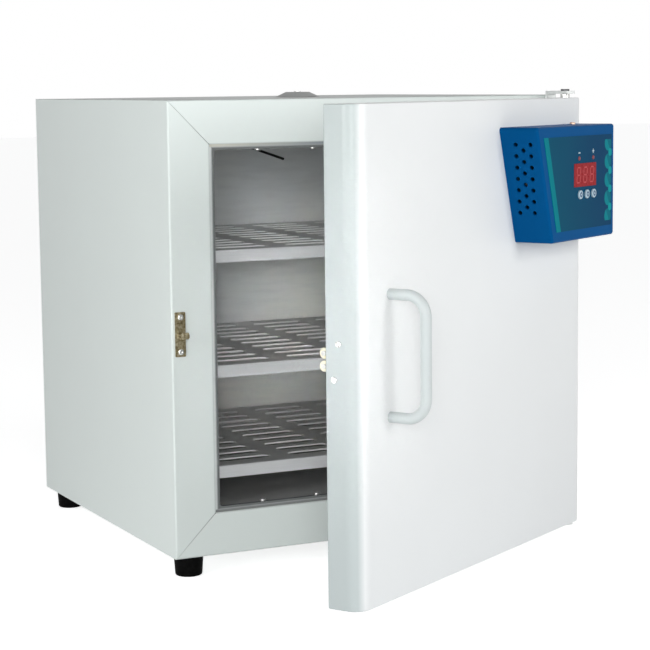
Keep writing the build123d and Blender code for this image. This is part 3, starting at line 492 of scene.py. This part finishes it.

# The chamber liner is a folded box in a pale heat-proof coat, mottled by heat and wiping. Painted
# shade darkens its floor and the foot of its walls, and a dark line of painted shade runs round its
# mouth. Its front rim is painted as a reflection: pale on the sides, cream to blue-grey from left
# to right along the top, and darker along the bottom as painted shade. The shelf rails welded to
# it have the same coat, and its rivets are plated.
mouth_half_width, mouth_half_height, rim_width = 0.1705, 0.1765, 0.0055
mouth_foot, mouth_top = middle_z - mouth_half_height, middle_z + mouth_half_height
fold_near, fold_far = 0.0020, 0.0035
floor_shade_from, floor_shade_to = mouth_foot + 0.0005, mouth_foot + 0.0150
liner = Finish("liner_coat", Metallic=0.0)
x, y, z = liner.axes()
smoke = liner.noise(7.0, 4.0)
wipe = liner.noise(90.0, 3.0, place=liner.stretched((0.25, 0.25, 1.6)))
speck = liner.noise(1500.0, 2.0)
warm, cool = tone("#eeeee9"), tone("#eaeef0")
liner_paint = liner.mix(liner.between(smoke, 0.0, 1.0, 0.35, 0.65), cool, warm)
liner_paint = liner.mix(liner.between(wipe, 0.0, 0.3, 0.45, 0.7), liner_paint, tone("#d4d6d8"))
# Painted shade darkens the floor and the foot of the walls.
floor_shade = liner.between(z, 0.85, 0.0, floor_shade_from, floor_shade_to)
liner_paint = liner.mix(floor_shade, liner_paint, tone("#717170"))
on_rim = y < front + 0.0020
past_side = abs(x) - mouth_half_width
past_end = abs(z - middle_z) - mouth_half_height
# The front rim is painted as a reflection, with painted shade along its bottom.
rim_up = liner.between(z, 0.0, 1.0, mouth_top + fold_near, mouth_top + fold_far)
rim_down = liner.between(z, 1.0, 0.0, mouth_foot - fold_far, mouth_foot - fold_near)
to_right = liner.between(x, 0.0, 1.0, -0.17, -0.05)
upper_rim_reflection = liner.mix(to_right, tone("#c9c9bd"), tone("#8f989d"))
rim_reflection_paint = liner.mix(rim_up, tone("#d9dfdd"), upper_rim_reflection)
rim_reflection_paint = liner.mix(rim_down, rim_reflection_paint, tone("#7d7f7f"))
rim_reflection_paint = liner.mix(on_rim, liner_paint, rim_reflection_paint)
past_mouth = liner.node("ShaderNodeMath", {"operation": "MAXIMUM"}, past_side, past_end)
mouth_line = liner.between(past_mouth, 0.85, 0.0, 0.0018, 0.0034) * (y < front + rim_width + 0.0010)
liner.surface(
    Base_Color=liner.mix(mouth_line, rim_reflection_paint, tone("#3a3d3e")),
    Roughness=liner.between(wipe + speck * 0.3, 0.34, 0.55, 0.4, 1.0),
    Normal=liner.bump(speck + wipe * 0.5, 0.12, 0.0003),
)
coat(liner.material, "liner", "shelf_rails")
coat(plated("rivet_zinc", (0.80, 0.80, 0.79), 0.30).material, "liner_rivets")

# The heating element is one steel-sheathed tube, bent to and fro under the chamber's floor and
# tinted straw and blue by its heat. Two folded straps hold it.
sheath = Finish("element_sheath", Metallic=0.9)
heat = sheath.noise(30.0, 3.0)
scale_marks = sheath.noise(900.0, 3.0)
grey, straw, dull_blue = (0.10, 0.09, 0.10), (0.22, 0.17, 0.11), (0.09, 0.10, 0.13)
sheath.surface(
    Base_Color=sheath.ramp(heat, (0.30, grey), (0.48, straw), (0.62, dull_blue)),
    Roughness=sheath.between(scale_marks, 0.40, 0.70, 0.3, 0.7),
    Normal=sheath.bump(scale_marks, 0.3, 0.0002),
)
coat(sheath.material, "heating_element", "element_straps")

# Mineral wool packs the cabinet's walls and the door: batts of matted straw-yellow fibres, cut to
# fit between the sheets.
wool = Finish("mineral_wool", Roughness=0.95)
fibres = wool.noise(700.0, 6.0, place=wool.stretched((1.0, 0.25, 0.4)), rough=0.75)
clumps = wool.noise(60.0, 4.0)
wool.surface(
    Base_Color=wool.mix(fibres, tone("#8f8048"), tone("#e6d79b")),
    Normal=wool.bump(fibres + clumps * 2.0, 0.9, 0.002),
)
coat(wool.material, "insulation", "door_insulation")

# The temperature probe is a thin bent rod in a black sleeve, dull with heat. A nylon bush on top
# of the liner holds it.
probe = Finish("probe_sleeve", IOR=1.45, Specular_IOR_Level=0.15)
soot = probe.noise(900.0, 3.0)
probe.surface(
    Base_Color=probe.mix(soot, (0.006, 0.006, 0.006), (0.022, 0.021, 0.020)),
    Roughness=probe.between(soot, 0.45, 0.75, 0.3, 0.7),
    Normal=probe.bump(soot, 0.3, 0.0001),
)
coat(probe.material, "probe")

# The vent is a tube from the chamber to the top panel under a spun sheet cap, both painted grey.
# The cap turns on a plated rivet.
vent_paint = powder("vent_grey", tone("#a9abaa"), 0.45)
coat(vent_paint.material, "vent_tube", "vent_cap")
coat(zinc.material, "vent_pivot")

# The shelves are slotted trays of satin steel. The grain runs along them, and their faces carry
# a dull grey film from use. The folded lip has none of it and is painted paler and less metallic,
# as painted light from the front, and the punched walls of the slots are painted pale as a
# painted highlight.
lip_end = front + 0.0285
shelf = Finish("satin_steel")
x, y, z = shelf.axes()
grain = shelf.noise(1500.0, 4.0, place=shelf.stretched((0.02, 1.0, 1.0)), rough=0.7)
film = shelf.noise(18.0, 4.0)
# The lip is painted paler, as painted light from the front.
on_lip = y < lip_end
_, to_back, _ = shelf.axes(shelf.node("ShaderNodeTexCoord", {}, output="Normal"))
# Painted highlight on the slot walls that face the front.
slot_wall_highlight = (to_back < -0.5) * (1 - on_lip)
steel = shelf.mix(grain, (0.58, 0.58, 0.575), (0.72, 0.72, 0.72))
steel = shelf.mix(shelf.between(film, 0.0, 0.3, 0.4, 0.7), steel, (0.48, 0.48, 0.48))
steel = shelf.mix(slot_wall_highlight, steel, (0.86, 0.86, 0.86))
lit_lip_steel = shelf.mix(grain, (0.70, 0.71, 0.72), (0.86, 0.87, 0.88))
shelf.surface(
    Base_Color=shelf.mix(on_lip, steel, lit_lip_steel),
    Metallic=shelf.between(on_lip, 0.75, 0.45) * (1 - slot_wall_highlight),
    Roughness=shelf.between(grain + film, 0.30, 0.48, 0.7, 1.3),
    Normal=shelf.bump(grain, 0.12, 0.0002),
)
coat(shelf.material, "shelf_bottom", "shelf_middle", "shelf_top")

# The strike is a stamped plate with a spear-headed tongue, in aged bronze. Two bright screws with
# round sockets fix it to the front frame.
bronze = Finish("aged_bronze", Metallic=0.85)
tarnish = bronze.noise(330.0, 5.0, rough=0.65)
pits = bronze.noise(1900.0, 2.0)
brown, drab, rubbed = tone("#5d5138"), tone("#938868"), tone("#c2baa0")
bronze.surface(
    Base_Color=bronze.ramp(tarnish, (0.32, brown), (0.50, drab), (0.68, rubbed)),
    Roughness=bronze.between(tarnish, 0.52, 0.30, 0.3, 0.7),
    Normal=bronze.bump(tarnish + pits * 0.5, 0.3, 0.0002),
)
coat(bronze.material, "strike")
strike_x, strike_z, strike_sheet, strike_screw_rise = -0.2101, 0.245, 0.0012, 0.017
strike_y = front - strike_sheet
strike_places = [(end, (strike_x, strike_y, strike_z + end * strike_screw_rise)) for end in (-1, 1)]
bright = plated("bright_zinc", (0.86, 0.86, 0.84), 0.22)
strike_screws = copies(
    pan_screw(small_shank, small_head, small_head_height, 0.007, "socket"),
    "strike_screw_heads",
    [stand((0, -1, 0), place, 0.5 * end) for end, place in strike_places],
)
dress(strike_screws, bright.material, "cabinet")
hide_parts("strike_screws")

# The hinges are steel brackets at the top and the bottom corner of the frame, in a white powder
# coat. Screws with cross recesses fix them, and the door turns on their dark steel pins.
bracket_white = powder("bracket_powder", tone("#e6e9e7"), 0.34)
coat(bracket_white.material, "hinge_bracket_top", "hinge_bracket_bottom")
hinge_x, hinge_y, bracket_sheet = 0.2135, -0.233, 0.003
bracket_middles, bracket_screw_rise = (0.0385, 0.4545), 0.007
hinge_places = [
    (hinge_x, front - bracket_sheet, bracket_z + end * bracket_screw_rise)
    for bracket_z in bracket_middles
    for end in (-1, 1)
]
hinge_screws = copies(
    pan_screw(small_shank, small_head, small_head_height, 0.010, "cross"),
    "hinge_screw_heads",
    [stand((0, -1, 0), place, 0.9 * index) for index, place in enumerate(hinge_places)],
)
dress(hinge_screws, zinc.material, "cabinet")
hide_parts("hinge_screws")
coat(plated("dark_steel", (0.09, 0.09, 0.095), 0.42).material, "hinge_pins")

# The door's skin is one folded shell in the same white, a shade cleaner than the casing, with
# painted shade greying its free edge and its foot. The inner panel's screws are cross-recessed.
door_angle = radians(30.6)
door_turn = (
    Matrix.Translation((hinge_x, hinge_y, 0))
    @ Matrix.Rotation(door_angle, 4, "Z")
    @ Matrix.Translation((-hinge_x, -hinge_y, 0))
)
door_unturn = door_turn.inverted()


def as_closed(finish):
    """Where a point of the door lies when the door is shut."""
    settings = {"vector_type": "POINT"}
    shift = tuple(door_unturn.translation)
    return finish.node("ShaderNodeMapping", settings, finish.place, shift, (0.0, 0.0, -door_angle))


door_white = powder("door_powder", tone("#f2f4f4"), 0.32)
door_x, _, door_z = door_white.axes(as_closed(door_white))
# Painted shade greys the door's free edge and its foot.
edge_shade = door_white.between(door_x, 1.0, 0.0, -width / 2 + 0.0006, -width / 2 + 0.006)
foot_shade = door_white.between(door_z, 0.16, 0.0, 0.02, 0.30)
shaded = door_white.mix(edge_shade * 0.9, door_white.paint, tone("#b6c0bf"))
shaded = door_white.mix(foot_shade, shaded, tone("#a9b0b6"))
door_white.surface(Base_Color=shaded)
coat(door_white.material, "door_skin", "door_inner_panel")
door_inner = -0.217
inner_span_x, inner_span_z = 0.205, 0.1656
inner_places = [
    (side * inner_span_x, door_inner, middle_z + end * inner_span_z) for side, end in corners
]
inner_screws = copies(
    pan_screw(small_shank, small_head, small_head_height, 0.005, "cross"),
    "inner_panel_screw_heads",
    [door_turn @ stand((0, 1, 0), place, 0.6 * index) for index, place in enumerate(inner_places)],
)
dress(inner_screws, zinc.material, "door")
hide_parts("inner_panel_screws")

# The gasket is a soft grey ring of silicone rubber on the inner panel's rim, with a faint skin
# and dust on it. The flanged bushes that carry the door are plated.
gasket = Finish("gasket_rubber", IOR=1.42)
skin_marks = gasket.noise(480.0, 4.0)
gasket.surface(
    Base_Color=gasket.mix(skin_marks, tone("#4b4c4b"), tone("#6d6e6c")),
    Roughness=gasket.between(skin_marks, 0.55, 0.75, 0.3, 0.7),
    Normal=gasket.bump(skin_marks, 0.35, 0.0004),
)
coat(gasket.material, "door_gasket")
coat(zinc.material, "hinge_bushes")

# The handle is a round bar, bent at both ends and powder-coated in a smooth white, painted greyer
# than the door as painted shade. Plated screws hold it from inside the door.
handle_shaded_white = powder("handle_shaded_powder", tone("#c8cfcf"), 0.30)
coat(handle_shaded_white.material, "handle")
coat(zinc.material, "handle_screws")

# The roller catch sits in the door's free edge: a bent channel with slotted screws, a guide rod,
# two sprung carriages, and cream nylon rollers turned smooth.
coat(zinc.material, "catch_body", "guide_rod", "carriage_upper", "carriage_lower")
catch_z, door_left = 0.245, -0.222
catch_places = [
    ((door_left, front - 0.0273, catch_z + 0.0157), radians(125)),
    ((door_left, front - 0.0225, catch_z - 0.0159), radians(113)),
]
catch_screws = copies(
    pan_screw(small_shank, small_head, small_head_height, 0.004, "slot"),
    "catch_screw_heads",
    [door_turn @ stand((-1, 0, 0), place, spin) for place, spin in catch_places],
)
dress(catch_screws, bright.material, "door")
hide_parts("catch_screws")

glow_through = (0.002, 0.0018, 0.0012)
nylon = Finish("cream_nylon", IOR=1.53, Subsurface_Weight=0.15, Subsurface_Radius=glow_through)
turning = nylon.noise(1100.0, 3.0)
nylon.surface(
    Base_Color=nylon.mix(turning, tone("#ded9bd"), tone("#f6f2e2")),
    Roughness=nylon.between(turning, 0.32, 0.48, 0.3, 0.7),
    Normal=nylon.bump(turning, 0.10, 0.0001),
)
coat(nylon.material, "roller_upper", "roller_lower")

# A coil spring stands on the guide rod between each carriage and its ear, wound from bright wire.
spring_wire, spring_radius, spring_turns = 0.00035, 0.0023, 6
spring_x, spring_y = door_left + 0.009, front - 0.022
spring_start, spring_end = catch_z + 0.0098, catch_z + 0.0189


def spring(name, way):
    """A wire ring wound along the rod by a screw modifier."""
    bpy.ops.object.select_all(action="DESELECT")
    bpy.ops.mesh.primitive_circle_add(vertices=8, radius=spring_wire, rotation=(pi / 2, 0, 0))
    coil = bpy.context.object
    bpy.ops.object.mode_set(mode="EDIT")
    bpy.ops.mesh.select_all(action="SELECT")
    bpy.ops.transform.translate(value=(spring_radius, 0, 0))
    bpy.ops.object.mode_set(mode="OBJECT")
    bpy.ops.object.transform_apply()
    run = spring_end - spring_start - 2 * spring_wire
    winding = coil.modifiers.new("winding", "SCREW")
    winding.axis = "Z"
    winding.screw_offset = run
    winding.angle = 2 * pi * spring_turns
    winding.steps = 20 * spring_turns
    winding.render_steps = winding.steps
    winding.use_smooth_shade = True
    bpy.ops.object.modifier_apply(modifier=winding.name)
    low = spring_start if way > 0 else 2 * catch_z - spring_end
    coil.data.transform(Matrix.Translation((spring_x, spring_y, low + spring_wire)))
    coil.data.transform(door_turn)
    bpy.ops.object.mode_set(mode="EDIT")
    bpy.ops.mesh.select_all(action="SELECT")
    bpy.ops.mesh.edge_face_add()
    bpy.ops.mesh.normals_make_consistent(inside=False)
    bpy.ops.object.mode_set(mode="OBJECT")
    coil.name = name
    dress(coil, bright.material, "door")
    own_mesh(coil)


spring("spring_upper", 1)
spring("spring_lower", -1)

# The control housing is a thin shell moulded in blue, with a fine grain and one slanted side.
# Screws plated with copper hold it to its backplate, and the backplate to the door.
blue = moulded("housing_blue", tone("#00538e"), 0.42, 1300.0, 0.10)
coat(blue.material, "control_housing")
coat(zinc.material, "housing_backplate")
housing_high, housing_drop = 0.442, 0.113
cover_x, cover_y = 0.171, -0.2625
backplate_face, backplate_z = -0.2537, 0.3855
cover_places = [
    ((0, 0, 1), (cover_x, cover_y, housing_high)),
    ((0, 0, -1), (cover_x, cover_y, housing_high - housing_drop)),
    ((0, -1, 0), (0.091, backplate_face, backplate_z)),
    ((0, -1, 0), (0.179, backplate_face, backplate_z)),
]
cover_screws = copies(
    pan_screw(small_shank, small_head, small_head_height, 0.007, "cross"),
    "housing_screw_heads",
    [door_turn @ stand(direction, place, 0.4) for direction, place in cover_places],
)
copper = plated("copper_plate", (0.72, 0.50, 0.38), 0.3)
dress(cover_screws, copper.material, "door")
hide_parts("housing_screws")

# The front label is a printed film: dark petrol blue, paler towards the slanted side, with a teal
# band along that side and a column of overlapping discs by the other.
label = Finish("label_print", IOR=1.5, Specular_IOR_Level=0.02)
x, y, z = label.axes(as_closed(label))
housing_run, slant_high, label_inset, label_width = 0.034, 0.032, 0.0105, 0.115
slant_x = slant_high + (housing_high - z) * (housing_run / housing_drop)
from_edge = x - slant_x - label_inset
across = label.between(from_edge, 0.0, 1.0, 0.0, label_width)
ground = label.mix(across, tone("#0a4e67"), tone("#0a3a60"))
mist = label.noise(40.0, 3.0)
ground = label.mix(mist * 0.18, ground, tone("#085a70"))
band = label.between(from_edge, 1.0, 0.0, 0.0088, 0.0096)
print_dots = label.noise(2200.0, 2.0)
disc_x, disc_pitch, disc_radius, disc_first = 0.1885, 0.0185, 0.0078, 0.3395
soft_edge = 0.0004
from_column = x - disc_x
cell = (z - disc_first) % disc_pitch - disc_pitch / 2
from_disc = (from_column ** 2.0 + cell ** 2.0) ** 0.5
disc = label.between(from_disc, 1.0, 0.0, disc_radius - soft_edge, disc_radius)
half = disc * (from_column + cell * 0.6 > 0.0)
small_cell = (z - disc_first + disc_pitch / 2) % disc_pitch - disc_pitch / 2
bead_shift, bead_radius, column_low, column_high = 0.0052, 0.0042, 0.3445, 0.4265
bead_x = from_column - bead_shift
from_bead = (bead_x ** 2.0 + small_cell ** 2.0) ** 0.5
bead = label.between(from_bead, 1.0, 0.0, bead_radius - soft_edge, bead_radius)
column_ends = (z < column_high) * (z > column_low)
inked = label.mix(band, ground, tone("#04808a"))
inked = label.mix(disc * 0.85 * column_ends, inked, tone("#0b8f96"))
inked = label.mix(half * 0.9 * column_ends, inked, tone("#056b7c"))
inked = label.mix(bead * 0.9 * column_ends, inked, tone("#12a3a4"))
inked = label.mix(print_dots * 0.10, inked, tone("#2a6a8c"))
label.surface(
    Base_Color=inked,
    Roughness=label.between(print_dots, 0.34, 0.46, 0.3, 0.7),
    Normal=label.bump(print_dots, 0.06, 0.0001),
)
coat(label.material, "control_label")

# The display is a moulded red filter with three seven-segment digits. Their bars are thin plates
# that lie just on its face and lean a little.
display_x, display_z, display_face = 0.13555, 0.393, -0.2942
red_filter = Finish("red_filter", IOR=1.5, Specular_IOR_Level=0.03)
haze = red_filter.noise(300.0, 3.0)
red_filter.surface(
    Base_Color=red_filter.mix(haze, tone("#8d2228"), tone("#9c2c30")),
    Roughness=red_filter.between(haze, 0.22, 0.36, 0.3, 0.7),
    Normal=red_filter.bump(haze, 0.05, 0.0002),
    Emission_Color=tone("#a0262b"),
    Emission_Strength=0.06,
)
coat(red_filter.material, "display_window")

# Every digit shows an eight: each bar's middle in its digit, and whether it stands upright.
segment_length, segment_width, segment_sheet, segment_gap = 0.0066, 0.0013, 0.00012, 0.0004
digit_count, digit_pitch, digit_lean = 3, 0.0148, 0.10
half_digit = segment_length / 2 + segment_gap
bars = (
    (0, 2 * half_digit, False),
    (half_digit, half_digit, True),
    (half_digit, -half_digit, True),
    (0, -2 * half_digit, False),
    (-half_digit, -half_digit, True),
    (-half_digit, half_digit, True),
    (0, 0, False),
)


def on_label(x, z, y=display_face):
    """From a drawing in X and Y to its place on the housing's front."""
    upright = Matrix(((1, 0, 0, x), (0, 0, -1, y), (0, 1, 0, z), (0, 0, 0, 1)))
    return door_turn @ upright


def plate(vertices, radius, thickness, stretch=(1, 1), spin=0.0):
    """A thin printed mark: a flat outline, turned and stretched, given its thickness towards +Z."""
    bpy.ops.object.select_all(action="DESELECT")
    bpy.ops.mesh.primitive_circle_add(vertices=vertices, radius=radius, fill_type="NGON")
    mark = bpy.context.object
    bpy.ops.object.mode_set(mode="EDIT")
    bpy.ops.mesh.select_all(action="SELECT")
    bpy.ops.transform.rotate(value=spin, orient_axis="Z", center_override=(0, 0, 0))
    bpy.ops.transform.resize(value=(stretch[0], stretch[1], 1))
    bpy.ops.mesh.extrude_region_move(TRANSFORM_OT_translate={"value": (0, 0, thickness)})
    bpy.ops.mesh.select_all(action="SELECT")
    bpy.ops.mesh.normals_make_consistent(inside=False)
    bpy.ops.object.mode_set(mode="OBJECT")
    return mark


def segment():
    """One bar of a digit, six-sided, pointed at both ends."""
    bar = plate(6, 1.0, segment_sheet)
    half_long, half_wide = segment_length / 2, segment_width / 2
    shoulder = half_long - half_wide
    outline = [(half_long, 0), (shoulder, half_wide), (-shoulder, half_wide)]
    outline += [(-x, -y) for x, y in outline]

    def turn(vertex):
        angle = vertex.co.xy.angle_signed(Vector((1, 0)))
        return vertex.co.z > 0, (angle - 0.01) % (2 * pi)

    order = sorted(bar.data.vertices, key=turn)
    for level in (order[:6], order[6:]):
        for vertex, (px, py) in zip(level, outline):
            vertex.co.x, vertex.co.y = px, py
    return bar


glowing = Finish("lit_segment", Roughness=0.4, Specular_IOR_Level=0.15)
glow_noise = glowing.noise(500.0, 2.0)
glowing.surface(
    Base_Color=glowing.mix(glow_noise, tone("#a93f43"), tone("#b5474a")),
    Emission_Color=glowing.mix(glow_noise, tone("#b8383c"), tone("#c04044")),
    Emission_Strength=0.15,
)
lean = Matrix(((1, digit_lean, 0, 0), (0, 1, 0, 0), (0, 0, 1, 0), (0, 0, 0, 1)))
bar_places = []
for column in range(digit_count):
    middle = on_label(display_x + (column - 1) * digit_pitch, display_z)
    for bar_x, bar_y, is_upright in bars:
        spin = Matrix.Rotation(is_upright * pi / 2, 4, "Z")
        bar_places.append(middle @ lean @ Matrix.Translation((bar_x, bar_y, 0)) @ spin)
digits = copies(segment(), "display_digits", bar_places)
dress(digits, glowing.material, "door")

# Two round lamps of red plastic stand in the label, under a minus and a plus sign that are
# printed on it in white ink.
lamp_red = Finish("lamp_red", IOR=1.5, Specular_IOR_Level=0.3)
tint = lamp_red.noise(500.0, 2.0)
lamp_red.surface(
    Base_Color=lamp_red.mix(tint, tone("#74303c"), tone("#8a3a40")),
    Roughness=lamp_red.between(tint, 0.25, 0.4, 0.3, 0.7),
    Normal=lamp_red.bump(tint, 0.05, 0.0001),
)
coat(lamp_red.material, "indicator_lamps")
label_face = -0.2939
sign_sheet = 0.00012
white_ink = Finish("white_ink", IOR=1.5)
ink_grain = white_ink.noise(1800.0, 2.0)
white_ink.surface(
    Base_Color=white_ink.mix(ink_grain, tone("#a9c3cf"), tone("#c9dde4")),
    Roughness=white_ink.between(ink_grain, 0.4, 0.55, 0.3, 0.7),
    Normal=white_ink.bump(ink_grain, 0.1, 0.0001),
)
bar_half, bar_slimness = 0.0021, 0.28
minus_x, minus_z, plus_x, plus_z = 0.1225, 0.4150, 0.1538, 0.4160
sign_places = [on_label(minus_x, minus_z, label_face), on_label(plus_x, plus_z, label_face)]
sign_places.append(sign_places[1] @ Matrix.Rotation(pi / 2, 4, "Z"))
sign_bar = plate(4, bar_half * 2 ** 0.5, sign_sheet, (1, bar_slimness), pi / 4)
signs = copies(sign_bar, "minus_and_plus", sign_places)
dress(signs, white_ink.material, "door")

# Three round plastic keys stand through the label, each with a pale rim and a dark blue middle.
# A sign is printed on each cap in white ink.
button_z, button_face = 0.3737, -0.2955
button_x = {"left": 0.12410, "middle": 0.13920, "right": 0.15430}
sign_shapes = {"left": (4, 0.0011, pi / 4), "middle": (3, 0.0016, pi), "right": (3, 0.0016, 0.0)}
for name, at_x in button_x.items():
    key = Finish(f"key_{name}", IOR=1.5)
    x, y, z = key.axes(as_closed(key))
    around = ((x - at_x) ** 2.0 + (z - button_z) ** 2.0) ** 0.5
    rim = key.between(around, 0.0, 1.0, 0.0026, 0.0029)
    wear = key.noise(900.0, 3.0)
    key.surface(
        Base_Color=key.mix(rim, tone("#2c4f74"), key.mix(wear, tone("#9fb9c8"), tone("#bdd3de"))),
        Roughness=key.between(wear, 0.38, 0.55, 0.3, 0.7),
        Normal=key.bump(wear, 0.12, 0.0001),
    )
    coat(key.material, f"button_{name}")
    sides, size, spin = sign_shapes[name]
    cap = on_label(at_x, button_z, button_face)
    mark = copies(plate(sides, size, sign_sheet, spin=spin), f"key_sign_{name}", [cap])
    dress(mark, white_ink.material, f"button_{name}")

# The circuit board behind the label is green laminate with faint tracks. It carries the switches
# of the keys.
board = Finish("board_laminate", Roughness=0.4)
tracks = board.noise(300.0, 2.0, place=board.stretched((1.0, 1.0, 0.15)))
on_track = board.between(tracks, 0.0, 1.0, 0.48, 0.52)
board.surface(
    Base_Color=board.mix(on_track, tone("#1d5c34"), tone("#2c7a48")),
    Normal=board.bump(tracks, 0.2, 0.0001),
)
coat(board.material, "circuit_board")
